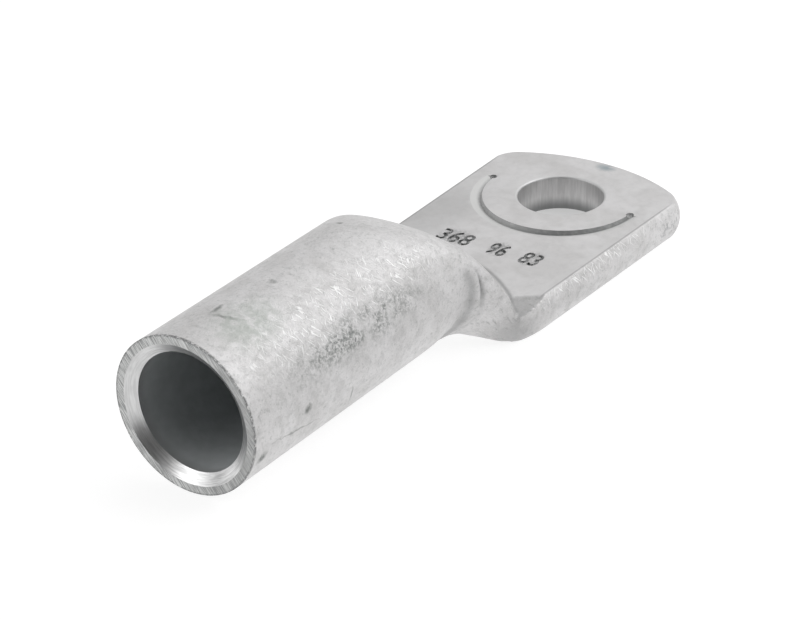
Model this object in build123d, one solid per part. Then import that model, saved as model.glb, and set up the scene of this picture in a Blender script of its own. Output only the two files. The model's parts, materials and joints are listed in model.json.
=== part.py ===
from build123d import *
from math import asin, cos, degrees, pi, radians, sin, tan
import os

# Aluminium cable lug, made from one length of round tube.
# One end stays a round barrel for the conductor. The other end is pressed flat
# between two dies into a palm, which is then punched for the terminal stud.
# Millimetres. The origin is on the stud hole's axis, on the palm's contact face.
# +X runs from the barrel to the palm's tip and +Z points up, out of the palm.

# Tube
barrel_diameter = 22.5
bore_diameter = 17.0
hole_to_mouth = 90.0

# Sawn mouth with its countersink
countersink_diameter = 20.0
countersink_depth = 1.1

# Palm
palm_thickness = 5.4
palm_face_width_at_hole = 31.0
palm_widening = 0.042
side_bulge = 0.9
hole_to_tip = 14.0
tip_radius = 28.0
tip_corner_radius = 4.5

# Stud hole
stud_hole_diameter = 13.0
stud_hole_softening = 0.3

# Pressed stretch between barrel and palm, measured from the mouth.
# The crown, the sides and the underside each start to move and lie flat at their own place.
# Up to the turn the metal bends away from the barrel, and after it into the palm.
crown_press_start = 33.6
crown_press_end = 65.0
side_press_start = 49.8
side_press_end = 56.0
underside_press_start = 46.5
underside_press_end = 54.3
press_turn = 0.85

# The palm's sides are nipped in where it meets the pressed stretch: they come in by the
# depth over the length, and on along the same curve as far as the nip reaches
nip_depth = 1.0
nip_length = 6.0
nip_reach = 7.2
nip_end = 62.0

# The sides move before the crown's middle does: how far up the tube their early start
# and their early end reach
early_start_reach = 1.9
early_end_reach = 1.7

# Cavity that is left inside the pressed stretch, a thin slit where it ends
cavity_end = 62.0
cavity_end_height = 0.5

# Crescent that the die's half ring prints round the hole
crescent_radius = 11.7
crescent_depth = 0.45
crescent_tilt = 1.3
crescent_inner_flank = 60.0
crescent_outer_flank = 22.0
crescent_end_pit_diameter = 1.0
crescent_end_pit_depth = 0.55
crescent_end_pit_tip = 0.4

# How finely the pressed stretch is described
cavity_section_spacing = 2.2
crown_point_count = 13
side_point_count = 5

# How far cutters and blanks run past the faces that they cut or meet
cutting_margin = 1.0

barrel_radius = barrel_diameter / 2
bore_radius = bore_diameter / 2
wall = barrel_radius - bore_radius
axis_height = barrel_radius

# Places along X
mouth_x = -hole_to_mouth
countersink_end_x = mouth_x + countersink_depth
barrel_end_x = mouth_x + crown_press_start
palm_start_x = mouth_x + crown_press_end
cavity_end_x = mouth_x + cavity_end
palm_blank_end_x = hole_to_tip + cutting_margin


def half_face_width(x):
    """Half the width of the palm's flat face at x."""
    half = (palm_face_width_at_hole + palm_widening * x) / 2
    before_end = mouth_x + nip_end - x
    if before_end > 0:
        half -= nip_depth * (min(before_end, nip_reach) / nip_length) ** 2
    return half


class OuterSkin:
    """The tube's outside: round before the press, flat with bulged sides after it."""

    def __init__(self, radius):
        self.radius = radius
        half = palm_thickness / 2
        self.side_radius = (half**2 + side_bulge**2) / (2 * side_bulge)
        self.side_run = self.side_radius * asin(half / self.side_radius)

    def corner(self, x):
        """Angle on the round tube of the line that becomes the edge of the flat face."""
        return pi / 2 * self.side_run / (self.side_run + half_face_width(x))

    def flat_place(self, x, angle):
        """Place (y, z from mid height) of the tube's angle on the flat section, by arc length."""
        half = half_face_width(x)
        run = abs(angle) / (pi / 2) * (self.side_run + half)
        if run <= self.side_run:
            y = half + side_bulge - self.side_radius * (1 - cos(run / self.side_radius))
            z = self.side_radius * sin(run / self.side_radius)
        else:
            y = half - (run - self.side_run)
            z = palm_thickness / 2
        return y, (z if angle >= 0 else -z)

    def point(self, x, angle):
        """Point of the tube at x; the angle is taken from the side, up positive, within 90 degrees."""
        pressed = press_share(x, angle)
        flat_y, flat_z = self.flat_place(x, angle)
        y = (1 - pressed) * self.radius * cos(angle) + pressed * flat_y
        z = (1 - pressed) * (axis_height + self.radius * sin(angle))
        z += pressed * (palm_thickness / 2 + flat_z)
        return y, z


class InnerSkin(OuterSkin):
    """The tube's inside: a round bore that closes to a thin slit with pointed sides."""

    def corner(self, x):
        return 0

    def flat_place(self, x, angle):
        half = half_face_width(x) + side_bulge - wall
        return half * (1 - abs(angle) / (pi / 2)), cavity_end_height / 2 * sin(angle)


def press_share(x, angle):
    """Share of the way from round to flat that the press has moved the metal at x and angle."""
    up = max(0.0, sin(angle))
    down = max(0.0, -sin(angle))
    start = side_press_start
    start += (crown_press_start - side_press_start) * up**early_start_reach
    start += (underside_press_start - side_press_start) * down
    end = side_press_end
    end += (crown_press_end - side_press_end) * up**early_end_reach
    end += (underside_press_end - side_press_end) * down
    step = (x - mouth_x - start) / (end - start)
    step = min(1.0, max(0.0, step))
    if step < press_turn:
        return step**2 / press_turn
    return 1 - (1 - step) ** 2 / (1 - press_turn)


def turn_place(start, end):
    """Place from the mouth where metal that is pressed from start to end turns into the palm."""
    return start + press_turn * (end - start)


def even_spline(points):
    """Smooth curve through points that are evenly spaced along it."""
    last = len(points) - 1
    return Edge.make_spline(points, parameters=[i / last for i in range(last + 1)])


def section(tube, x):
    """Closed outline of the tube at x: crown, one side, underside, other side."""
    corner = tube.corner(max(x, barrel_end_x))

    def place(angle, side):
        y, z = tube.point(x, angle)
        return Vector(x, side * y, z)

    def face_edge(sign):
        first = place(sign * corner, -1)
        last = place(sign * corner, 1)
        if x <= barrel_end_x:
            return Edge.make_three_point_arc(first, place(sign * pi / 2, 1), last)
        if x >= palm_start_x:
            return Edge.make_line(first, last)
        steps = crown_point_count // 2
        angles = [corner + (pi / 2 - corner) * i / steps for i in range(steps + 1)]
        right = [place(sign * a, -1) for a in angles]
        left = [place(sign * a, 1) for a in reversed(angles[:-1])]
        return even_spline(right + left)

    def side_edge(side):
        if x <= barrel_end_x or x >= palm_start_x:
            return Edge.make_three_point_arc(place(corner, side), place(0, side), place(-corner, side))
        steps = side_point_count - 1
        angles = [corner - 2 * corner * i / steps for i in range(steps + 1)]
        return even_spline([place(a, side) for a in angles])

    if corner == 0:
        return Wire([face_edge(1), face_edge(-1)])
    return Wire([face_edge(1), side_edge(1), face_edge(-1), side_edge(-1)])


def stretch(tube, start_x, end_x, sections=1, ruled=True):
    """Stretch of tube between two places, through evenly spaced sections."""
    stations = [start_x + (end_x - start_x) * i / sections for i in range(sections + 1)]
    return Solid.make_loft([section(tube, x) for x in stations], ruled)


def skin(solid, *open_at):
    """Faces of a stretch of tube without its flat ends at the given places along X."""

    def is_open_end(face):
        box = face.bounding_box()
        return any(abs(box.min.X - x) < 1e-4 and abs(box.max.X - x) < 1e-4 for x in open_at)

    return [face for face in solid.faces() if not is_open_end(face)]


def bulge(foot, out):
    """Section of the palm's bulged rim, on a point of the lower face's outline."""
    top = foot + Vector(0, 0, palm_thickness)
    middle = foot + out * side_bulge + Vector(0, 0, palm_thickness / 2)
    return make_face(ThreePointArc(foot, middle, top) + Line(top, foot))


def palm_blank():
    """Flat pressed tube before its tip is shaped: two flat faces and two bulged sides."""
    start_half = half_face_width(palm_start_x)
    end_half = half_face_width(palm_blank_end_x)
    near = (palm_start_x, -start_half), (palm_start_x, start_half)
    far = (palm_blank_end_x, end_half), (palm_blank_end_x, -end_half)
    blank = extrude(make_face(Polyline(*near, *far, close=True)), palm_thickness)
    for side in (-1, 1):
        out = Vector(0, side, 0)
        first = bulge(Vector(palm_start_x, side * start_half, 0), out)
        last = bulge(Vector(palm_blank_end_x, side * end_half, 0), out)
        blank += loft([first, last], ruled=True)
    return blank


def tip_form():
    """Form that shapes the tip: a shallow arc with round corners, bulged all round."""
    half = half_face_width(hole_to_tip - tip_corner_radius)
    face_tip = hole_to_tip - side_bulge
    edge_x = face_tip - tip_radius + (tip_radius**2 - half**2) ** 0.5
    back = palm_start_x - cutting_margin
    outline = Polyline((edge_x, half), (back, half), (back, -half), (edge_x, -half))
    outline += ThreePointArc((edge_x, -half), (face_tip, 0), (edge_x, half))
    plan = make_face(outline)
    plan = fillet([v for v in plan.vertices() if v.X > 0], tip_corner_radius)
    form = extrude(plan, palm_thickness)
    for side in plan.edges().filter_by(Axis.X):
        foot = Vector(back, side.center().Y, 0)
        out = Vector(0, foot.Y / half, 0)
        form += extrude(bulge(foot, out), amount=side.length, dir=(1, 0, 0))
    for arc in plan.edges().filter_by(GeomType.CIRCLE):
        foot = Vector(arc.vertices().sort_by(Axis.Y)[0])
        out = (foot - arc.arc_center).normalized()
        turn = degrees(arc.length / arc.radius)
        form += revolve(bulge(foot, out), Axis(arc.arc_center, (0, 0, 1)), turn)
    return form


def stud_hole():
    """Punched hole as one turned cutter: the punch leaves a soft rim on top and a crisp one below."""
    radius = stud_hole_diameter / 2
    outline = Polyline(
        (0, -cutting_margin),
        (radius, -cutting_margin),
        (radius, palm_thickness - stud_hole_softening),
        (radius + stud_hole_softening, palm_thickness),
        (radius + stud_hole_softening, palm_thickness + cutting_margin),
        (0, palm_thickness + cutting_margin),
        close=True,
    )
    return revolve(Plane.XZ * make_face(outline), Axis.Z)


def crescent():
    """Half ring groove on the barrel's side of the stud hole, deepest in the middle, with end pits."""
    height = crescent_depth + cutting_margin
    groove = Polygon(
        (crescent_radius, -crescent_depth),
        (crescent_radius + height / tan(radians(crescent_outer_flank)), cutting_margin),
        (crescent_radius - height / tan(radians(crescent_inner_flank)), cutting_margin),
        align=None,
    )
    half_ring = revolve(Plane.YZ * groove, Axis.Z, 180)
    half_ring = half_ring.rotate(Axis.Y, -crescent_tilt)
    pit = Cone(crescent_end_pit_tip / 2, crescent_end_pit_diameter / 2, 2 * crescent_end_pit_depth)
    pits = [Pos(0, side * crescent_radius, 0) * pit for side in (-1, 1)]
    return Pos(0, 0, palm_thickness) * (half_ring + pits)


def outer_faces():
    """Outside of the lug: barrel, pressed stretch and palm, without the open mouth."""
    outer = OuterSkin(barrel_radius)
    faces = skin(stretch(outer, mouth_x, barrel_end_x), mouth_x, barrel_end_x)
    underside_turn = turn_place(underside_press_start, underside_press_end)
    crown_turn = turn_place(crown_press_start, crown_press_end)
    start_x = barrel_end_x
    for end, sections in (
        (underside_press_start, 4),
        (underside_turn, 6),
        (side_press_end, 5),
        (crown_turn, 3),
        (crown_press_end, 4),
    ):
        end_x = mouth_x + end
        faces += skin(stretch(outer, start_x, end_x, sections, ruled=False), start_x, end_x)
        start_x = end_x
    palm = palm_blank() & tip_form()
    palm -= stud_hole()
    palm -= crescent()
    return faces + skin(palm, palm_start_x)


def inner_faces():
    """Inside of the lug: countersink, bore and the cavity down to its slit."""
    inner = InnerSkin(bore_radius)
    mouth = InnerSkin(countersink_diameter / 2)
    cone = Solid.make_loft([section(mouth, mouth_x), section(inner, countersink_end_x)], ruled=True)
    bands = round((cavity_end_x - barrel_end_x) / cavity_section_spacing)
    faces = skin(cone, mouth_x, countersink_end_x)
    faces += skin(stretch(inner, countersink_end_x, barrel_end_x), countersink_end_x, barrel_end_x)
    faces += skin(stretch(inner, barrel_end_x, cavity_end_x, bands), barrel_end_x)
    return faces


def make_lug():
    """The whole lug, closed from its outside, its inside and the sawn mouth between them."""
    rim = section(OuterSkin(barrel_radius), mouth_x)
    countersink = section(InnerSkin(countersink_diameter / 2), mouth_x)
    sawn_mouth = Face(rim, [countersink])
    return Solid(Shell(outer_faces() + inner_faces() + [sawn_mouth]))


if __name__ == "__main__":
    os.makedirs("parts", exist_ok=True)
    lug = make_lug()
    export_step(lug, "parts/cable_lug.step")
    print("volume", round(lug.volume), "faces", len(lug.faces()), "valid", lug.is_valid)
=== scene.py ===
import json
from math import asin, atan2, cos, exp, pi, radians, sin, tan

import bmesh
import bpy
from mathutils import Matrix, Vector


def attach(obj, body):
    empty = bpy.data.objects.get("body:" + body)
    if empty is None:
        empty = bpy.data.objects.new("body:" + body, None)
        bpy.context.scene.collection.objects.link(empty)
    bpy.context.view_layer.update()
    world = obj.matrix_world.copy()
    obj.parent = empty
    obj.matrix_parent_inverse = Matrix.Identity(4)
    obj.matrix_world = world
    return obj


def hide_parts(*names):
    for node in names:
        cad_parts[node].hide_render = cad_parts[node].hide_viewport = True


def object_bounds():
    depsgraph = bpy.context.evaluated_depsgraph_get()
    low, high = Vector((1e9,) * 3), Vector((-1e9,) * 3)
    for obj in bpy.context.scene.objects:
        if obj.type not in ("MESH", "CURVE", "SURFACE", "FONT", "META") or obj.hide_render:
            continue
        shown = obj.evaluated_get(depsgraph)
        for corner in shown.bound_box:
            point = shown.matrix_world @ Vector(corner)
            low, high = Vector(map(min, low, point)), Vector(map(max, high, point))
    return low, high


# An aluminium cable lug: a round barrel with a sawn, countersunk mouth, pressed flat into a
# palm that is punched for the terminal stud. The lug is drawn as a straight tube, pressed by
# the same rule as the solid, and then sheared, punched and stamped.

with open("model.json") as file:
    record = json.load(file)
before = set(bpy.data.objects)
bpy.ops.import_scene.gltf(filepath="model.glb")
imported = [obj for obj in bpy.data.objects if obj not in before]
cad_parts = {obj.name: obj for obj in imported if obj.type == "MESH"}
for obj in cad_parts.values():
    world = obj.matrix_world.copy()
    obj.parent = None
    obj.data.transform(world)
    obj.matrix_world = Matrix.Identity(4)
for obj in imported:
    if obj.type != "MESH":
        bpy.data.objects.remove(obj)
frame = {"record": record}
cad_low, cad_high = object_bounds()
record = frame["record"]
mounts = {mount["name"]: mount for mount in record["mounts"]}

mm = 0.001

# Tube
barrel_radius = 11.25 * mm
bore_radius = mounts["conductor_bore"]["dims"]["r_mm"] * mm
axis_height = mounts["conductor_bore"]["pos_m"][2]
mouth_x = cad_low.x
tip_x = cad_high.x

# Sawn mouth with its countersink
countersink_radius = 10.0 * mm
countersink_depth = 1.1 * mm

# Palm
palm_thickness = 5.4 * mm
palm_half_width = 15.5 * mm
palm_widening = 0.021
side_bulge = 0.9 * mm
palm_edge_rounding = 0.16 * mm
tip_radius = 28.0 * mm
tip_corner_radius = 4.5 * mm

# Stud hole
hole_radius = mounts["stud_hole"]["dims"]["r_mm"] * mm
hole_softening = 0.35 * mm

# Pressed stretch, as distances from the mouth: where the crown, the sides and the
# underside start to move and where they lie flat
crown_press = 33.6 * mm, 65.0 * mm
side_press = 49.8 * mm, 56.0 * mm
underside_press = 46.5 * mm, 54.3 * mm
press_turn = 0.85
early_start_reach = 1.9
early_end_reach = 1.7
nip_depth = 1.0 * mm
nip_length = 6.0 * mm
nip_reach = 7.2 * mm
nip_end = 62.0 * mm
cavity_end = 62.0 * mm
cavity_end_height = 0.5 * mm

# Shares of the press over which the upper face settles flat, and how much earlier the
# facet beside it does
settling = 0.9, 0.99
facet_lead = 0.08, 0.02

# Facet that the press folds down at each side of the palm's start
facet_fold = (-31.9 * mm, 10.2 * mm), (-28.2 * mm, 14.6 * mm)
facet_slope = 0.3
facet_edge = 0.2 * mm
facet_touch = 0.05 * mm
# Painted shade on the facet: its share, and the drop below the face over which it comes in
facet_dirt = 0.48
facet_dirt_edge = 0.15 * mm

# Worn corner under each wing: distance from the mouth and reach along it in millimetres
corner_wear_distance = 55.0
corner_wear_reach = 1.3
corner_wear_inset = 2.0 * mm
corner_wear_outset = 0.3 * mm
corner_wear_height = 0.4 * mm

# Crease at each side of the barrel's end. Angles are in degrees above the tube's side,
# distances from the mouth and depths in millimetres.
crease_distance = 51.4
crease_starts = -75, -30
crease_stops = 4, 20
crease_bend_below = -8, 0.001
crease_bend_above = -5, 0.0042
crease_deepest_at = -2
crease_deepest_reach = 8
crease_reach = 0.35
crease_depth = 0.15
crease_deepest_gain = 0.45

# Shallow dip ahead of the crease, in millimetres: its reach towards the mouth is the longer
dip_lead = 2.8
dip_depth = 0.55
dip_reach_to_mouth = 2.6
dip_reach_to_palm = 0.8

# Painted shade in the crease, in the dip, and along the foot of the pressed slope: shares, and
# leads and reaches in millimetres
crease_dirt = 0.25
crease_dirt_gain = 0.75
crease_dirt_reach = 0.3
dip_dirt = 0.6
dip_dirt_lead = 2.0
dip_dirt_reach = 0.75
foot_dirt = 0.75
foot_dirt_lead = 0.5
foot_dirt_reach = 0.35
foot_dirt_starts = 0.2, 0.34

# Crescent round the hole
crescent_radius = 12.1 * mm
crescent_depth = 0.45 * mm
crescent_tilt = radians(1.3)
crescent_inner_flank = radians(60)
crescent_outer_flank = radians(22)
crescent_pit_radius = 0.6 * mm

# Stamped numerals, read with the barrel at the bottom: text, left end and width in millimetres
numerals = ("368", 8.4, 5.5), ("96", -0.3, 3.1), ("83", -5.9, 3.1)
numeral_foot_x = -21.8 * mm
numeral_height = 3.7 * mm
numeral_depth = 0.3 * mm
numeral_thickening = 0.09 * mm
numeral_text_size = 5 * mm
numeral_curve_steps = 3

# How finely the tube is drawn
ring_points = 300
wall_steps = 12
rounding_steps = 2
barrel_spacing = 1.2 * mm
pressed_spacing = 0.3 * mm
palm_spacing = 1.0 * mm

# How finely the cutters are drawn, and how far they stand clear of the metal
tip_steps = 60
tip_corner_steps = 20
punch_steps = 128
softening_steps = 6
crescent_steps = 96
pit_segments = 24
cutting_margin = 1.0 * mm
waste_length = 10 * cutting_margin

# Turns the punch so that none of its points lies in the plane of the crescent's ends
punch_turn = 0.02

# Points closer than this are one point
outline_merging = 0.001 * mm
merging = 0.01 * mm

# Studio
lug_middle = -0.04, 0, 0.01
floor_drop = 0.01 * mm
floor_brightness = 0.82
floor_mirrored_brightness = 0.92
# Painted shadow: the share of the floor's glow left under the stud hole
floor_under_hole = 0.53
world_light = 0.63
white = 1, 1, 1, 1

# Derived
wall = barrel_radius - bore_radius
middle_radius = (barrel_radius + bore_radius) / 2
corner_steps = wall_steps + rounding_steps
corner_angle = 2 * pi * corner_steps / ring_points
side_radius = ((palm_thickness / 2) ** 2 + side_bulge**2) / (2 * side_bulge)
side_inset = side_radius - side_bulge
rounding_up = palm_thickness / 2 - palm_edge_rounding
rounding_out = ((side_radius - palm_edge_rounding) ** 2 - rounding_up**2) ** 0.5
wall_turn = atan2(rounding_up, rounding_out)


def deselect():
    """Nothing stays selected or in edit mode."""
    if bpy.context.mode != "OBJECT":
        bpy.ops.object.mode_set(mode="OBJECT")
    bpy.ops.object.select_all(action="DESELECT")


def select_only(piece):
    deselect()
    bpy.context.view_layer.objects.active = piece
    piece.select_set(True)


def edit(piece):
    """Starts edit mode on one piece with nothing selected in it."""
    select_only(piece)
    bpy.ops.object.mode_set(mode="EDIT")
    bpy.ops.mesh.select_all(action="DESELECT")


def select_where(piece, test):
    """Selects the vertices of the edited piece that pass the test."""
    bpy.ops.mesh.select_mode(type="VERT")
    sheet = bmesh.from_edit_mesh(piece.data)
    for point in sheet.verts:
        point.select_set(test(point))
    sheet.select_flush_mode()
    bmesh.update_edit_mesh(piece.data)


def extrude_by(way):
    bpy.ops.mesh.extrude_region_move(TRANSFORM_OT_translate={"value": way})


def extrude_along(start, end, spacing):
    """Extrudes the selected ring along the tube in even steps."""
    count = max(1, round((end - start) / spacing))
    for _ in range(count):
        extrude_by(((end - start) / count, 0, 0))


def squeeze(share, x):
    """Scales the selected ring about the tube's axis."""
    bpy.ops.transform.resize(value=(1, share, share), center_override=(x, 0, axis_height))


def draw_outline(name, start, moves):
    """Draws an outline with a pen: each move is a straight way or an arc about a centre."""
    deselect()
    bpy.ops.mesh.primitive_plane_add(size=mm, location=(0, 0, 0))
    piece = bpy.context.object
    piece.name = piece.data.name = name
    bpy.ops.object.mode_set(mode="EDIT")
    bpy.ops.mesh.select_mode(type="VERT")
    bpy.ops.mesh.merge(type="CENTER")
    bpy.ops.transform.translate(value=start)
    for kind, *how in moves:
        if kind == "way":
            extrude_by(how[0])
        else:
            centre, axis, angle, steps = how
            bpy.ops.mesh.spin(steps=steps, angle=-angle, center=centre, axis=axis)
    return piece


def close_outline():
    bpy.ops.mesh.select_all(action="SELECT")
    bpy.ops.mesh.remove_doubles(threshold=outline_merging)
    bpy.ops.mesh.edge_face_add()


def spin_upright(steps, angle, centre=(0, 0, 0)):
    bpy.ops.mesh.spin(steps=steps, angle=angle, center=centre, axis=(0, 0, 1))


def rotate_all(angle, axis, centre=(0, 0, 0)):
    bpy.ops.mesh.select_all(action="SELECT")
    bpy.ops.transform.rotate(value=angle, orient_axis=axis, center_override=centre)


def finish_cutter(piece):
    bpy.ops.mesh.select_all(action="SELECT")
    bpy.ops.mesh.remove_doubles(threshold=merging)
    bpy.ops.mesh.normals_make_consistent(inside=False)
    bpy.ops.object.mode_set(mode="OBJECT")
    return piece


def place_piece(piece):
    """Moves the piece's place, turn and scale into its mesh."""
    bpy.ops.object.transform_apply(location=True, rotation=True, scale=True)
    return piece


# The press

def blend(value, low, high):
    """Smooth step from 0 to 1."""
    share = min(1.0, max(0.0, (value - low) / (high - low)))
    return share * share * (3 - 2 * share)


def bell(distance, reach):
    """1 at no distance, fading to 0 on both sides."""
    return exp(-((distance / reach) ** 2))


def half_face_width(x):
    """Half the width of the palm's flat face at x, nipped in where the palm starts."""
    half = palm_half_width + palm_widening * x
    before_end = mouth_x + nip_end - x
    if before_end > 0:
        half -= nip_depth * (min(before_end, nip_reach) / nip_length) ** 2
    return half


def press_span(angle):
    """Distances from the mouth where the metal at an angle starts to move and lies flat."""
    up = max(0.0, sin(angle))
    down = max(0.0, -sin(angle))
    start, end = side_press
    start += (crown_press[0] - side_press[0]) * up**early_start_reach
    start += (underside_press[0] - side_press[0]) * down
    end += (crown_press[1] - side_press[1]) * up**early_end_reach
    end += (underside_press[1] - side_press[1]) * down
    return start, end


def press_share(x, angle):
    """Share of the way from round to flat that the press has moved the metal."""
    start, end = press_span(angle)
    step = (x - mouth_x - start) / (end - start)
    step = min(1.0, max(0.0, step))
    if step < press_turn:
        return step**2 / press_turn
    return 1 - (1 - step) ** 2 / (1 - press_turn)


def flat_outside(x, angle):
    """Place of the outside on the flat section, from its middle: bulged wall, rounding, face."""
    inner = half_face_width(x) - side_inset
    across = abs(angle)
    steps = across / (2 * pi) * ring_points
    if steps <= wall_steps:
        turn = wall_turn * steps / wall_steps
        y = inner + side_radius * cos(turn)
        z = side_radius * sin(turn)
    elif steps <= corner_steps:
        turn = wall_turn + (pi / 2 - wall_turn) * (steps - wall_steps) / rounding_steps
        y = inner + rounding_out + palm_edge_rounding * cos(turn)
        z = rounding_up + palm_edge_rounding * sin(turn)
    else:
        y = (inner + rounding_out) * (pi / 2 - across) / (pi / 2 - corner_angle)
        z = palm_thickness / 2
    return y, (z if angle >= 0 else -z)


def flat_inside(x, angle):
    """Place of the inside on the flat section: a thin slit with pointed sides."""
    half = half_face_width(x) + side_bulge - wall
    return half * (1 - abs(angle) / (pi / 2)), cavity_end_height / 2 * sin(angle)


def facet_dip(x, y):
    """How far the palm's corner facet lies below the flat face."""
    (x1, y1), (x2, y2) = facet_fold
    length = ((x2 - x1) ** 2 + (y2 - y1) ** 2) ** 0.5
    beyond = ((y - y1) * (x2 - x1) - (x - x1) * (y2 - y1)) / length
    return facet_slope * max(0.0, beyond)


def corner_lift(x, y, flat_z):
    """How far the wing's underside corner is worn up."""
    along = bell((x - mouth_x) / mm - corner_wear_distance, corner_wear_reach)
    edge = half_face_width(x)
    across = blend(y, edge - corner_wear_inset, edge + corner_wear_outset)
    return corner_wear_height * along * across * blend(-flat_z, 0, palm_thickness / 2)


def crease_places(x, angle):
    """How strong and how deep the side crease is at an angle, and how far x lies beyond it."""
    turn = angle * 180 / pi
    window = blend(turn, *crease_starts) * (1 - blend(turn, *crease_stops))
    below = max(0.0, crease_bend_below[0] - turn)
    above = max(0.0, turn - crease_bend_above[0])
    bend = crease_distance - crease_bend_below[1] * below**2 - crease_bend_above[1] * above**2
    deepest = bell(turn - crease_deepest_at, crease_deepest_reach)
    return window, deepest, (x - mouth_x) / mm - bend


def crease_dip(x, angle):
    """How far the tube's side is drawn in ahead of the wing, with the crisp crease beyond it."""
    window, deepest, crisp = crease_places(x, angle)
    soft = crisp + dip_lead
    dip = dip_depth * bell(soft, dip_reach_to_mouth if soft < 0 else dip_reach_to_palm)
    dip += (crease_depth + crease_deepest_gain * deepest) * bell(crisp, crease_reach)
    return dip * window * mm


def fold_dirt(x, angle):
    """How much painted shade darkens the metal in the side crease, in the dip and along the foot
    of the pressed slope.
    """
    window, deepest, crisp = crease_places(x, angle)
    dirt = window * (crease_dirt + crease_dirt_gain * deepest) * bell(crisp, crease_dirt_reach)
    dirt += dip_dirt * window * bell(crisp + dip_dirt_lead, dip_dirt_reach)
    before_flat = (mouth_x + press_span(angle)[1] - x) / mm
    foot = blend(angle, *foot_dirt_starts) * bell(before_flat - foot_dirt_lead, foot_dirt_reach)
    return min(1.0, dirt + foot_dirt * foot)


def pressed_place(place, outside):
    """Where the press puts a point of the straight tube."""
    across = abs(place.y)
    up = place.z - axis_height
    radius = (across**2 + up**2) ** 0.5
    angle = atan2(up, across)
    if outside:
        radius -= crease_dip(place.x, angle)
    pressed = press_share(place.x, angle)
    flat_y, flat_z = (flat_outside if outside else flat_inside)(place.x, angle)
    y = (1 - pressed) * radius * cos(angle) + pressed * flat_y
    z = (1 - pressed) * (axis_height + radius * sin(angle))
    z += pressed * (palm_thickness / 2 + flat_z)
    if outside and flat_z > 0:
        dip = facet_dip(place.x, y)
        on_facet = blend(dip, 0, facet_edge)
        above = z - palm_thickness + dip
        low, high = (share - lead * on_facet for share, lead in zip(settling, facet_lead))
        z -= max(0.0, above) * blend(pressed, low, high)
    elif outside:
        z += corner_lift(place.x, y, flat_z) * pressed
    return Vector((place.x, y if place.y >= 0 else -y, z))


# The tube

def drawn_tube():
    """A straight tube with its sawn and countersunk mouth, closed at its far ends."""
    deselect()
    bpy.ops.mesh.primitive_circle_add(
        vertices=ring_points,
        radius=barrel_radius,
        location=(mouth_x, 0, axis_height),
        rotation=(0, pi / 2, 0),
    )
    piece = place_piece(bpy.context.object)
    piece.name = piece.data.name = "cable_lug_body"
    edit(piece)
    bpy.ops.mesh.select_all(action="SELECT")
    barrel_end = mouth_x + crown_press[0]
    palm_start = mouth_x + crown_press[1]
    extrude_along(mouth_x, barrel_end, barrel_spacing)
    extrude_along(barrel_end, palm_start, pressed_spacing)
    extrude_along(palm_start, tip_x + cutting_margin, palm_spacing)
    bpy.ops.mesh.edge_face_add()

    # The mouth: a sawn ring, the countersink, the bore and the cavity
    select_where(piece, lambda point: abs(point.co.x - mouth_x) < merging)
    extrude_by((0, 0, 0))
    squeeze(countersink_radius / barrel_radius, mouth_x)
    extrude_by((countersink_depth, 0, 0))
    squeeze(bore_radius / countersink_radius, mouth_x + countersink_depth)
    extrude_along(mouth_x + countersink_depth, barrel_end, 6 * barrel_spacing)
    extrude_along(barrel_end, mouth_x + cavity_end, 3 * pressed_spacing)
    bpy.ops.mesh.edge_face_add()
    bpy.ops.mesh.select_all(action="SELECT")
    bpy.ops.mesh.normals_make_consistent(inside=False)
    bpy.ops.object.mode_set(mode="OBJECT")
    return piece


def wrap_tube(piece):
    """Lays a map on the tube that runs along it and round it, in metres at the outside."""
    wrap = piece.data.uv_layers.new(name="wrap")
    points = piece.data.vertices
    for face in piece.data.polygons:
        middle = atan2(face.center.y, face.center.z - axis_height)
        for corner in face.loop_indices:
            place = points[piece.data.loops[corner].vertex_index].co
            turn = atan2(place.y, place.z - axis_height)
            if turn - middle > pi:
                turn -= 2 * pi
            if middle - turn > pi:
                turn += 2 * pi
            wrap.data[corner].uv = place.x, turn * barrel_radius


def paint(piece):
    """Gives each stretch of the straight tube its finish."""
    order = ["skin", "sawn", "turned", "bore"]
    for finish in order:
        piece.data.materials.append(finishes[finish])
    for face in piece.data.polygons:
        radius = (face.center.y**2 + (face.center.z - axis_height) ** 2) ** 0.5
        depth = face.center.x - mouth_x
        if depth < merging:
            finish = "sawn"
        elif depth < countersink_depth and radius < countersink_radius:
            finish = "turned"
        elif radius < middle_radius and depth < cavity_end + merging:
            finish = "bore"
        else:
            finish = "skin"
        face.material_index = order.index(finish)


def press(piece):
    """Presses the tube's end flat, keeps its barrel round, and notes where painted shade sits.
    """
    dirt = piece.data.attributes.new("fold_dirt", "FLOAT", "POINT")
    for point in piece.data.vertices:
        note = dirt.data[point.index]
        radius = (point.co.y**2 + (point.co.z - axis_height) ** 2) ** 0.5
        if radius > middle_radius:
            angle = atan2(point.co.z - axis_height, abs(point.co.y))
            note.value = fold_dirt(point.co.x, angle)
        at_mouth = point.co.x < mouth_x + 2 * countersink_depth
        point.co = pressed_place(point.co, outside=radius > middle_radius or at_mouth)
        # Painted shade on the facet beside the fold
        dip = facet_dip(point.co.x, abs(point.co.y))
        if dip > 0 and abs(point.co.z - palm_thickness + dip) < facet_touch:
            note.value = max(note.value, facet_dirt * blend(dip, 0, facet_dirt_edge))


def cut(piece, cutter, finish):
    """Takes the cutter out of the piece; the cut faces get the finish."""
    cutter.data.materials.append(finishes[finish])
    select_only(piece)
    boolean = piece.modifiers.new("cut", "BOOLEAN")
    boolean.operation = "DIFFERENCE"
    boolean.object = cutter
    boolean.solver = "EXACT"
    boolean.material_mode = "TRANSFER"
    bpy.ops.object.modifier_apply(modifier=boolean.name)
    bpy.data.objects.remove(cutter)


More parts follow.
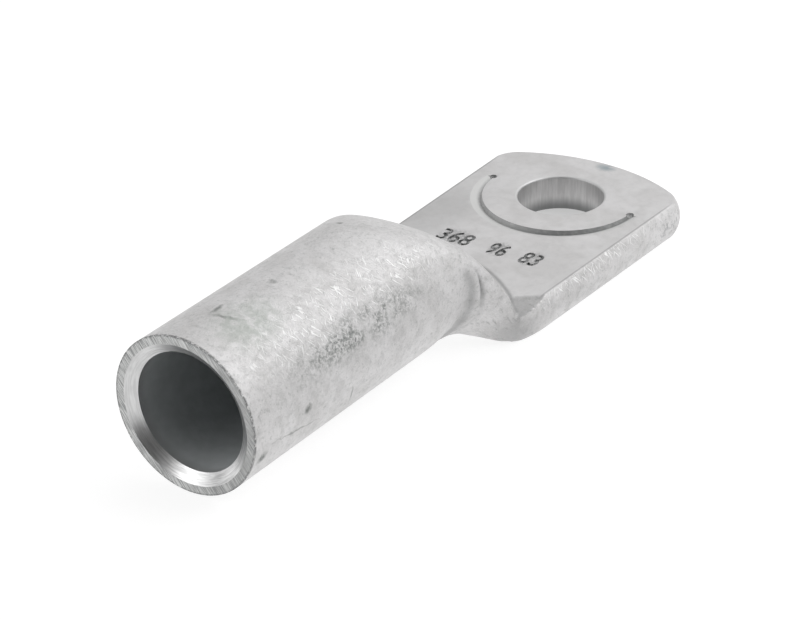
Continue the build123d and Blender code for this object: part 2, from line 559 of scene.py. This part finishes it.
def tip_form():
    """Waste beyond the tip: its wall is the bulged rim of a shallow arc with round corners."""
    half = palm_half_width + palm_widening * (tip_x - tip_corner_radius)
    tip_centre_x = tip_x - side_bulge - tip_radius
    corner_y = half - tip_corner_radius
    reach = tip_radius - tip_corner_radius
    corner_turn = asin(corner_y / reach)
    corner_x = tip_centre_x + reach * cos(corner_turn)
    inner = side_inset - half
    rim = inner - rounding_out
    top = palm_thickness - palm_edge_rounding
    rounding_turn = pi / 2 - wall_turn
    along = 1, 0, 0
    low_rounding = (corner_x, rim, palm_edge_rounding), along, -rounding_turn, rounding_steps
    bulge = (corner_x, inner, palm_thickness / 2), along, -2 * wall_turn, 2 * wall_steps
    high_rounding = (corner_x, rim, top), along, -rounding_turn, rounding_steps
    piece = draw_outline(
        "tip_form",
        (corner_x, rim, 0),
        [
            ("arc", *low_rounding),
            ("arc", *bulge),
            ("arc", *high_rounding),
            ("way", (0, 0, cutting_margin)),
            ("way", (0, -waste_length, 0)),
            ("way", (0, 0, -palm_thickness - 2 * cutting_margin)),
            ("way", (0, waste_length, 0)),
            ("way", (0, 0, cutting_margin)),
        ],
    )
    close_outline()
    spin_upright(tip_corner_steps, corner_turn - pi / 2, (corner_x, -corner_y, 0))
    spin_upright(tip_steps, -2 * corner_turn, (tip_centre_x, 0, 0))
    spin_upright(tip_corner_steps, corner_turn - pi / 2, (corner_x, corner_y, 0))
    return finish_cutter(piece)


def hole_punch():
    """The stud punch, with the soft rim that it leaves on the upper face."""
    rim_height = palm_thickness - hole_softening
    rim_centre = hole_radius + hole_softening, 0, rim_height
    piece = draw_outline(
        "hole_punch",
        (0, 0, -cutting_margin),
        [
            ("way", (hole_radius, 0, 0)),
            ("way", (0, 0, rim_height + cutting_margin)),
            ("arc", rim_centre, (0, 1, 0), pi / 2, softening_steps),
            ("way", (0, 0, cutting_margin)),
            ("way", (-hole_radius - hole_softening, 0, 0)),
        ],
    )
    bpy.ops.mesh.select_all(action="SELECT")
    spin_upright(punch_steps, 2 * pi)
    rotate_all(punch_turn, "Z")
    return finish_cutter(piece)


def crescent_die():
    """The die's half ring on the hole's barrel side, tilted so that its middle bites deepest."""
    inner_run = cutting_margin / tan(crescent_inner_flank)
    outer_run = (crescent_depth + cutting_margin) / tan(crescent_outer_flank)
    piece = draw_outline(
        "crescent_die",
        (0, crescent_radius, palm_thickness - crescent_depth),
        [
            ("way", (0, outer_run, crescent_depth + cutting_margin)),
            ("way", (0, -outer_run - inner_run, 0)),
            ("way", (0, inner_run, -crescent_depth - cutting_margin)),
        ],
    )
    close_outline()
    spin_upright(crescent_steps, -pi)
    rotate_all(crescent_tilt, "Y", (0, 0, palm_thickness))
    return finish_cutter(piece)


def end_pit(side):
    """The small pit at one end of the crescent."""
    deselect()
    bpy.ops.mesh.primitive_uv_sphere_add(
        segments=pit_segments,
        ring_count=pit_segments // 2,
        radius=crescent_pit_radius,
        location=(0, side * crescent_radius, palm_thickness),
    )
    piece = bpy.context.object
    piece.name = piece.data.name = "end_pit"
    return place_piece(piece)


def numeral_stamp(text, left, width):
    """One group of stamped numerals."""
    deselect()
    bpy.ops.object.text_add(location=(0, 0, 0))
    piece = bpy.context.object
    piece.name = "numeral_stamp"
    piece.data.body = text
    piece.data.size = numeral_text_size
    piece.data.extrude = numeral_depth
    piece.data.offset = numeral_thickening
    piece.data.resolution_u = numeral_curve_steps
    bpy.ops.object.convert(target="MESH")
    piece.data.name = "numeral_stamp"
    xs = [point.co.x for point in piece.data.vertices]
    ys = [point.co.y for point in piece.data.vertices]
    piece.scale = width * mm / (max(xs) - min(xs)), numeral_height / (max(ys) - min(ys)), 1
    piece.rotation_euler = 0, 0, -pi / 2
    piece.location = numeral_foot_x, left * mm, palm_thickness
    place_piece(piece)
    edit(piece)
    return finish_cutter(piece)


# Finishes: places and sizes in them are in millimetres

def feed(tree, socket, value):
    """Gives a socket a number, a colour or another node's output."""
    if isinstance(value, bpy.types.NodeSocket):
        tree.links.new(value, socket)
    else:
        socket.default_value = value


def node(tree, kind, inputs=None, **settings):
    """Adds a node with its settings and what goes into it."""
    made = tree.nodes.new("ShaderNode" + kind)
    for name, value in settings.items():
        setattr(made, name, value)
    for name, value in (inputs or {}).items():
        feed(tree, made.inputs[name], value)
    return made


def new_material(name):
    material = bpy.data.materials.new(name)
    material.use_nodes = True
    return material


def in_millimetres(tree, place):
    return node(tree, "VectorMath", {0: place, "Scale": 1 / mm}, operation="SCALE").outputs[0]


def metal_finish(name):
    """A material with its shader, and the place on the object in millimetres."""
    material = new_material(name)
    tree = material.node_tree
    where = node(tree, "TexCoord").outputs["Object"]
    return material, tree, tree.nodes["Principled BSDF"], in_millimetres(tree, where)


def coat(tree, shader, colour, metal, roughness):
    feed(tree, shader.inputs["Base Color"], colour)
    feed(tree, shader.inputs["Metallic"], metal)
    feed(tree, shader.inputs["Roughness"], roughness)


def along_axis(tree, place, axis):
    return node(tree, "SeparateXYZ", {0: place}).outputs[axis]


def distance(tree, place):
    return node(tree, "VectorMath", {0: place}, operation="LENGTH").outputs["Value"]


def moved(tree, place, way):
    return node(tree, "VectorMath", {0: place, 1: way}, operation="ADD").outputs[0]


def stretched(tree, place, scale, turn=(0, 0, 0), middle=(0, 0, 0)):
    """A pattern's place, stretched, turned and centred."""
    inputs = {"Vector": place, "Location": middle, "Scale": scale, "Rotation": turn}
    return node(tree, "Mapping", inputs, vector_type="TEXTURE").outputs[0]


def noise_at(tree, place, scale, detail=2.0, roughness=0.5, distortion=0.0):
    inputs = {
        "Vector": place,
        "Scale": scale,
        "Detail": detail,
        "Roughness": roughness,
        "Distortion": distortion,
    }
    return node(tree, "TexNoise", inputs).outputs[0]


def ramp(tree, value, low, high, to_low=0.0, to_high=1.0):
    inputs = {
        "Value": value,
        "From Min": low,
        "From Max": high,
        "To Min": to_low,
        "To Max": to_high,
    }
    return node(tree, "MapRange", inputs, interpolation_type="SMOOTHSTEP").outputs[0]


def maths(tree, operation, first, *others):
    """Works through the values one after another, from the first."""
    result = first
    for other in others:
        result = node(tree, "Math", {0: result, 1: other}, operation=operation).outputs[0]
    return result


def times(tree, *values):
    return maths(tree, "MULTIPLY", *values)


def plus(tree, *values):
    return maths(tree, "ADD", *values)


def widest(tree, *shares):
    """The largest of the shares at each place."""
    return maths(tree, "MAXIMUM", *shares)


def rest_of(tree, share):
    """What the share leaves of 1."""
    return maths(tree, "SUBTRACT", 1.0, share)


def spot(tree, place, middle, reach, soft=0.6, turn=0.0):
    """1 at the middle, fading to 0 at the reach along each axis."""
    inside = stretched(tree, place, reach, (0, 0, turn), middle)
    return ramp(tree, distance(tree, inside), 1.0, 1.0 - soft)


def grey(level):
    return level, level, level


def tint(tree, share, under, over):
    """Lays one colour over another by a share."""
    made = node(tree, "Mix", {0: share}, data_type="RGBA")
    for number, colour in ((6, under), (7, over)):
        plain = isinstance(colour, tuple)
        feed(tree, made.inputs[number], (*colour, 1) if plain else colour)
    return made.outputs[2]


def lay(tree, under, colour, *shares):
    """Lays a colour over a finish, by the product of the shares."""
    return tint(tree, times(tree, *shares), under, colour)


def bump(tree, shader, *layers):
    """Lays heights in millimetres, one over another, on the shader's normal."""
    normal = None
    for height, depth in layers:
        inputs = {"Height": height, "Distance": depth * mm, "Strength": 1.0}
        if normal is not None:
            inputs["Normal"] = normal
        normal = node(tree, "Bump", inputs).outputs[0]
    tree.links.new(normal, shader.inputs["Normal"])


def pickled_skin():
    """Matt pickled aluminium: cloudy, with nicks and specks on the barrel and a calm palm."""
    material, tree, shader, place = metal_finish("pickled_skin")
    wrap = in_millimetres(tree, node(tree, "UVMap", uv_map="wrap").outputs[0])
    x, y, z = node(tree, "SeparateXYZ", {0: place}).outputs
    barrel = rest_of(tree, ramp(tree, x, -33, -29))
    below_face = ramp(tree, z, 5.38, 5.2)
    rough = widest(tree, barrel, below_face)
    calm = rest_of(tree, rough)

    clouds = ramp(tree, noise_at(tree, place, 0.16, 3.0, 0.55, 0.6), 0.3, 0.7)
    blots = noise_at(tree, place, 0.75, 4.0, 0.6, 0.4)
    blot_strength = plus(tree, times(tree, rough, 0.25), 0.12)
    mottle = noise_at(tree, place, 1.7, 5.0, 0.72, 0.3)
    grain = noise_at(tree, place, 5.0, 3.0, 0.6)
    grain_strength = plus(tree, times(tree, rough, 0.25), 0.05)
    skin = tint(tree, clouds, (0.655, 0.646, 0.645), (0.735, 0.727, 0.73))
    skin = lay(tree, skin, (0.50, 0.50, 0.495), ramp(tree, blots, 0.42, 0.72), blot_strength)
    skin = lay(tree, skin, (0.36, 0.37, 0.36), ramp(tree, mottle, 0.50, 0.70), rough, 0.5)
    skin = lay(tree, skin, grey(0.95), ramp(tree, grain, 0.45, 0.75), grain_strength)

    # Short nicks, nearly all across the tube, painted near white as glints where they catch the
    # light:
    # along the barrel's shoulder and the hump, on the palm's side and on the far side
    nick_bands = [
        spot(tree, wrap, (-66, -8.6, 0), (30, 6.2, 50), 0.7),
        spot(tree, wrap, (-15, -15.6, 0), (24, 1.7, 50), 0.8),
        spot(tree, wrap, (-64, 14.5, 0), (24, 6.5, 50), 0.9),
    ]
    strokes = []
    for turn, shift in ((0.2, 0.0), (-0.5, 31.0), (0.65, 67.0)):
        stroke_at = stretched(tree, wrap, (0.22, 2.3, 1), (0, 0, turn), (shift, shift, 0))
        strokes.append(ramp(tree, noise_at(tree, stroke_at, 1.0, 0.0), 0.69, 0.735))
    nicks = times(tree, widest(tree, *strokes), widest(tree, *nick_bands))
    # Painted glints: the nicks are laid on near white
    skin = lay(tree, skin, grey(1.0), nicks, 0.9)

    # Dark smudged specks below the shoulder, on the far side and on the underside
    speck_noise = noise_at(tree, place, 1.9, 6.0, 0.75, 0.5)
    specks = ramp(tree, speck_noise, 0.42, 0.60)
    smudges = ramp(tree, noise_at(tree, place, 0.33, 1.0), 0.32, 0.52)
    speck_bands = [
        spot(tree, wrap, (-66, -13.0, 0), (21, 3.6, 50), 0.8),
        spot(tree, wrap, (-72, 21.5, 0), (19, 5.0, 50), 0.9),
        spot(tree, wrap, (-60, 33.0, 0), (28, 6.0, 50), 0.9),
        spot(tree, wrap, (-60, -33.0, 0), (28, 6.0, 50), 0.9),
    ]
    speck_places = times(tree, widest(tree, *speck_bands), smudges)
    skin = lay(tree, skin, (0.17, 0.185, 0.175), specks, speck_places, 0.8)

    # Six single marks and two hairlines on the barrel, with wavy outlines
    swayed = moved(tree, wrap, noise_at(tree, place, 0.9, 2.0))
    worn = ramp(tree, speck_noise, 0.28, 0.5)
    for middle, reach, turn, dark in (
        ((-78.3, -18.0, 0), (1.1, 0.9, 50), 0.4, 0.95),
        ((-87.5, -20.8, 0), (1.3, 1.1, 50), 0.5, 0.95),
        ((-80.8, 1.5, 0), (2.2, 0.55, 50), 0.08, 0.8),
        ((-81.8, -0.7, 0), (2.5, 0.5, 50), -1.22, 0.75),
        ((-70.9, 0.0, 0), (0.7, 0.8, 50), 0.0, 0.6),
        ((-51.5, 3.5, 0), (0.7, 0.8, 50), 0.0, 0.8),
        ((-68.2, -20.8, 0), (2.0, 0.22, 50), -1.5, 0.75),
        ((-80.5, -20.3, 0), (7.5, 0.2, 50), -0.17, 0.6),
    ):
        mark = spot(tree, swayed, middle, reach, 0.9, turn)
        skin = lay(tree, skin, (0.2, 0.21, 0.2), mark, worn, dark)

    # Faint long scratches near the mouth, and a few dark flecks on all the rough skin
    scratch_at = stretched(tree, wrap, (6.0, 0.07, 1), (0, 0, 0.04))
    scratches = ramp(tree, noise_at(tree, scratch_at, 1.0, 1.0), 0.69, 0.74)
    scratch_band = spot(tree, wrap, (-74, -20, 0), (18, 6, 50), 0.6)
    skin = lay(tree, skin, grey(0.25), scratches, scratch_band, 0.45)
    flecks = ramp(tree, noise_at(tree, place, 1.3, 4.0, 0.7), 0.68, 0.73)
    skin = lay(tree, skin, grey(0.28), flecks, rough, 0.6)

    # A greenish patch near the mouth, a bluish stain at the palm's far edge, marks by the tip
    patch = spot(tree, wrap, (-81, -3.6, 0), (8.5, 5.5, 50), 0.8)
    skin = lay(tree, skin, (0.46, 0.50, 0.46), patch, ramp(tree, blots, 0.3, 0.6), 0.55)
    stain = spot(tree, place, (11.9, -0.7, 5.3), (1.6, 2.2, 1.5), 0.9)
    skin = lay(tree, skin, (0.33, 0.39, 0.42), stain, ramp(tree, blots, 0.3, 0.55), 0.8)
    tip_noise = ramp(tree, noise_at(tree, place, 1.3, 3.0, 0.65), 0.50, 0.64)
    tip_marks = spot(tree, place, (4.5, -16.0, 2.8), (6.5, 2.5, 2.4), 0.7)
    skin = lay(tree, skin, (0.3, 0.3, 0.31), tip_noise, tip_marks, 0.55)

    # The palm is a little darker all over and round the numerals, and painted shade lies on the
    # palm beside the hump and on the metal under the wing
    skin = lay(tree, skin, grey(0.3), calm, 0.1)
    beside_hump = spot(tree, place, (-15, 13, 5.4), (20, 9, 4), 0.9)
    skin = lay(tree, skin, grey(0.42), beside_hump, 0.4)
    under_wing = spot(tree, place, (-35, -14.5, 1.4), (7, 4.5, 4.2), 0.9)
    skin = lay(tree, skin, grey(0.36), under_wing, 0.6)
    numeral_middle = numeral_foot_x / mm + numeral_height / mm / 2
    for _, left, width in numerals:
        middle = numeral_middle, left - width / 2, palm_thickness / mm
        haze = spot(tree, place, middle, (2.9, width * 0.62, 2), 0.6)
        skin = lay(tree, skin, grey(0.3), haze, ramp(tree, mottle, 0.38, 0.56), 0.65)

    # Painted shade in the folds, a thin line of painted shade where the die's edge met the palm,
    # a ragged mouth edge
    fold = node(tree, "Attribute", attribute_name="fold_dirt").outputs["Fac"]
    skin = lay(tree, skin, (0.16, 0.165, 0.165), fold, 0.75)
    across = node(tree, "Math", {0: y}, operation="ABSOLUTE").outputs[0]
    from_middle = plus(tree, times(tree, x, -palm_widening), across)
    # Painted shade: a thin dark line beside the palm's top edge, standing in for a small groove
    edge_line = times(
        tree,
        ramp(tree, from_middle, 15.1, 15.3),
        ramp(tree, from_middle, 15.55, 15.4),
        ramp(tree, x, 8, 3),
        ramp(tree, x, -31, -28),
        ramp(tree, z, 5.0, 5.3),
    )
    skin = lay(tree, skin, grey(0.3), edge_line, 0.5)
    mouth_edge = ramp(tree, x, -89.55, -89.9)
    ragged = ramp(tree, mottle, 0.40, 0.52)
    skin = lay(tree, skin, (0.13, 0.135, 0.135), mouth_edge, ragged, 0.85)

    coat(tree, shader, skin, metal=0.85, roughness=ramp(tree, blots, 0.3, 0.7, 0.5, 0.6))
    waves = times(tree, noise_at(tree, place, 1.1, 3.0, 0.5), rough)
    fine_strength = plus(tree, times(tree, rough, 0.85), 0.15)
    fine = times(tree, noise_at(tree, place, 7.0, 3.0, 0.6), fine_strength)
    bump(tree, shader, (waves, 0.08), (fine, 0.07), (nicks, 0.06))
    return material


def sawn_face():
    """Sawn ring with slanting parallel saw marks and a burr along its outer edge."""
    material, tree, shader, place = metal_finish("sawn_face")
    strokes = stretched(tree, place, (1, 3.0, 0.13), (radians(52), 0, 0))
    marks = noise_at(tree, strokes, 1.0, 2.0, 0.6)
    blots = noise_at(tree, place, 0.9, 3.0, 0.6)
    burrs = noise_at(tree, place, 2.2, 3.0, 0.7)
    face = tint(tree, ramp(tree, marks, 0.38, 0.62), (0.28, 0.285, 0.285), (0.66, 0.665, 0.66))
    face = tint(tree, ramp(tree, blots, 0.45, 0.75, 0, 0.35), face, (0.34, 0.34, 0.33))
    out = distance(tree, moved(tree, place, (90, 0, -axis_height / mm)))
    outer_edge = ramp(tree, out, 10.95, 11.15)
    face = lay(tree, face, (0.15, 0.155, 0.155), outer_edge, ramp(tree, burrs, 0.40, 0.55), 0.75)
    # Painted shade: the face is darker towards its -y side
    across = along_axis(tree, place, "Y")
    face = tint(tree, ramp(tree, across, 0, -9, 0, 0.35), face, grey(0.25))
    coat(tree, shader, face, metal=0.85, roughness=0.45)
    bump(tree, shader, (marks, 0.05), (burrs, 0.03))
    return material


def turned_cone():
    """Bright turned countersink with rings from the tool."""
    material, tree, shader, place = metal_finish("turned_cone")
    rings = noise_at(tree, stretched(tree, place, (0.12, 2.5, 2.5)), 1.0, 2.0, 0.6)
    blots = noise_at(tree, place, 0.5, 2.0)
    cone = tint(tree, ramp(tree, rings, 0.35, 0.65), grey(0.58), grey(0.8))
    cone = tint(tree, ramp(tree, blots, 0.5, 0.8, 0, 0.35), cone, grey(0.45))
    # Painted shade: the cone is darker towards its +y side
    across = along_axis(tree, place, "Y")
    cone = tint(tree, ramp(tree, across, 1, 9, 0, 0.5), cone, grey(0.42))
    coat(tree, shader, cone, metal=1.0, roughness=0.3)
    bump(tree, shader, (rings, 0.015))
    return material


def dark_bore():
    """Grey inside of the tube, darker just behind the countersink."""
    material, tree, shader, place = metal_finish("dark_bore")
    along = along_axis(tree, place, "X")
    blots = noise_at(tree, place, 0.6, 3.0)
    inside = tint(tree, ramp(tree, blots, 0.3, 0.7), (0.52, 0.545, 0.55), (0.57, 0.59, 0.60))
    inside = tint(tree, ramp(tree, along, -87.0, -88.8, 0, 0.5), inside, grey(0.3))
    coat(tree, shader, inside, metal=0.3, roughness=0.6)
    bump(tree, shader, (blots, 0.05))
    return material


def punched_wall():
    """Wall of the punched hole: upright scoring, darker towards the bottom."""
    material, tree, shader, place = metal_finish("punched_wall")
    height = along_axis(tree, place, "Z")
    scores = noise_at(tree, stretched(tree, place, (0.35, 0.35, 4.0)), 1.0, 3.0, 0.6)
    side = tint(tree, ramp(tree, scores, 0.3, 0.75), (0.49, 0.485, 0.485), (0.62, 0.615, 0.615))
    side = tint(tree, ramp(tree, height, 2.4, 0.2, 0, 0.85), side, (0.14, 0.145, 0.145))
    side = tint(tree, ramp(tree, height, 4.9, 5.4), side, grey(0.66))
    coat(tree, shader, side, metal=0.8, roughness=0.5)
    bump(tree, shader, (scores, 0.03))
    return material


def printed_groove():
    """Groove of the half ring: dirt and painted shade sit against its steep inner flank, more
    towards -y.
    """
    material, tree, shader, place = metal_finish("printed_groove")
    flat = node(tree, "VectorMath", {0: place, 1: (1.0, 1.0, 0.0)}, operation="MULTIPLY")
    out = distance(tree, flat.outputs[0])
    blots = noise_at(tree, place, 1.2, 3.0, 0.6)
    deepest = crescent_radius / mm
    dirt = times(
        tree,
        ramp(tree, out, deepest + 0.75, deepest + 0.1),
        ramp(tree, blots, 0.2, 0.6, 0.6, 1.0),
        ramp(tree, along_axis(tree, place, "Y"), 6, -8, 0.6, 1.0),
    )
    groove = tint(tree, dirt, (0.66, 0.66, 0.655), (0.35, 0.355, 0.355))
    coat(tree, shader, groove, metal=0.7, roughness=0.6)
    bump(tree, shader, (blots, 0.05))
    return material


def stamped_floor():
    """Dark rough floor of the stamped numerals and the end pits: grime and painted shade in the
    recesses.
    """
    material, tree, shader, place = metal_finish("stamped_floor")
    blots = noise_at(tree, place, 1.5, 4.0, 0.7)
    floor = tint(tree, ramp(tree, blots, 0.42, 0.60), (0.16, 0.165, 0.165), grey(0.58))
    coat(tree, shader, floor, metal=0.4, roughness=0.7)
    bump(tree, shader, (blots, 0.1))
    return material


def make_lug():
    body = drawn_tube()
    wrap_tube(body)
    paint(body)
    press(body)
    cut(body, tip_form(), "skin")
    cut(body, hole_punch(), "punched")
    cut(body, crescent_die(), "groove")
    for side in (-1, 1):
        cut(body, end_pit(side), "stamped")
    for text, left, width in numerals:
        cut(body, numeral_stamp(text, left, width), "stamped")
    select_only(body)
    bpy.ops.object.shade_smooth_by_angle(angle=radians(30))
    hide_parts("cable_lug")
    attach(body, "root")


# Studio

def make_floor():
    """A floor that shows white to the camera and in reflections, with a painted shadow: dimmer
    under the stud hole.
    """
    deselect()
    bpy.ops.mesh.primitive_plane_add(size=4, location=(0, 0, -floor_drop))
    floor = bpy.context.object
    floor.name = floor.data.name = "studio_floor"
    material = new_material("pale_floor")
    tree = material.node_tree
    tree.nodes.clear()
    path = node(tree, "LightPath")
    out = distance(tree, node(tree, "TexCoord").outputs["Object"])
    # Painted shadow: the floor's glow is dimmed where it is seen through the stud hole
    open_floor = ramp(tree, out, 1.1 * hole_radius, 1.4 * hole_radius, floor_under_hole, 1.0)
    seen = times(tree, path.outputs["Is Camera Ray"], floor_brightness, open_floor)
    mirrored = times(tree, path.outputs["Is Glossy Ray"], floor_mirrored_brightness)
    glow = plus(tree, seen, mirrored)
    surface = node(tree, "BsdfDiffuse", {"Color": (*grey(0.3), 1)})
    emission = node(tree, "Emission", {"Color": white, "Strength": glow})
    both = node(tree, "AddShader", {0: surface.outputs[0], 1: emission.outputs[0]})
    node(tree, "OutputMaterial", {"Surface": both.outputs[0]})
    floor.data.materials.append(material)


def make_world():
    """Even light from all round, seen as white by the camera."""
    world = bpy.data.worlds.new("studio")
    bpy.context.scene.world = world
    world.use_nodes = True
    tree = world.node_tree
    tree.nodes.clear()
    path = node(tree, "LightPath")
    light = node(tree, "Background", {"Color": white, "Strength": world_light})
    seen = node(tree, "Background", {"Color": white, "Strength": 1.0})
    sides = {0: path.outputs["Is Camera Ray"], 1: light.outputs[0], 2: seen.outputs[0]}
    mixed = node(tree, "MixShader", sides)
    node(tree, "OutputWorld", {"Surface": mixed.outputs[0]})


def face_towards(thing, aim, side):
    """Turns a thing so that the named side of it faces the aim."""
    way = Vector(aim) - thing.location
    thing.rotation_euler = way.to_track_quat(side, "Y").to_euler()


def make_lamp(name, place, aim, size, power):
    lamp = bpy.data.objects.new(name, bpy.data.lights.new(name, "AREA"))
    bpy.context.scene.collection.objects.link(lamp)
    lamp.location = place
    lamp.data.shape = "RECTANGLE"
    lamp.data.size, lamp.data.size_y = size
    lamp.data.energy = power
    face_towards(lamp, aim, "-Z")


def make_dark_card():
    """A dark card behind the camera, which the faces turned to the camera mirror."""
    deselect()
    bpy.ops.mesh.primitive_plane_add(size=0.74, location=(-0.48, -0.24, 0.27))
    card = bpy.context.object
    card.name = card.data.name = "dark_card"
    face_towards(card, lug_middle, "Z")
    material = new_material("dark_card")
    shader = material.node_tree.nodes["Principled BSDF"]
    shader.inputs["Base Color"].default_value = (*grey(0.14), 1)
    shader.inputs["Roughness"].default_value = 0.9
    card.data.materials.append(material)


def make_camera():
    camera = bpy.data.objects.new("camera", bpy.data.cameras.new("camera"))
    bpy.context.scene.collection.objects.link(camera)
    camera.location = (-0.324552, -0.200574, 0.192010)
    camera.rotation_euler = (radians(61.6128), radians(1.0124), radians(-55.0928))
    camera.data.sensor_fit = "HORIZONTAL"
    camera.data.sensor_width = 36
    camera.data.lens = 127.111
    camera.data.clip_start = 0.01
    bpy.context.scene.camera = camera


finishes = {
    "skin": pickled_skin(),
    "sawn": sawn_face(),
    "turned": turned_cone(),
    "bore": dark_bore(),
    "punched": punched_wall(),
    "groove": printed_groove(),
    "stamped": stamped_floor(),
}
make_lug()
make_floor()
make_world()
make_lamp("right", (0.3, -0.45, 0.5), lug_middle, (0.4, 0.4), 1.6)
make_lamp("overhead", (0.62, 0.1, 0.72), lug_middle, (0.9, 0.9), 1.4)
make_lamp("left", (-0.6, 0.5, 0.5), (-0.09, 0, 0.01), (0.6, 0.5), 1.3)
make_dark_card()
make_camera()
bpy.context.scene.view_settings.view_transform = "Standard"
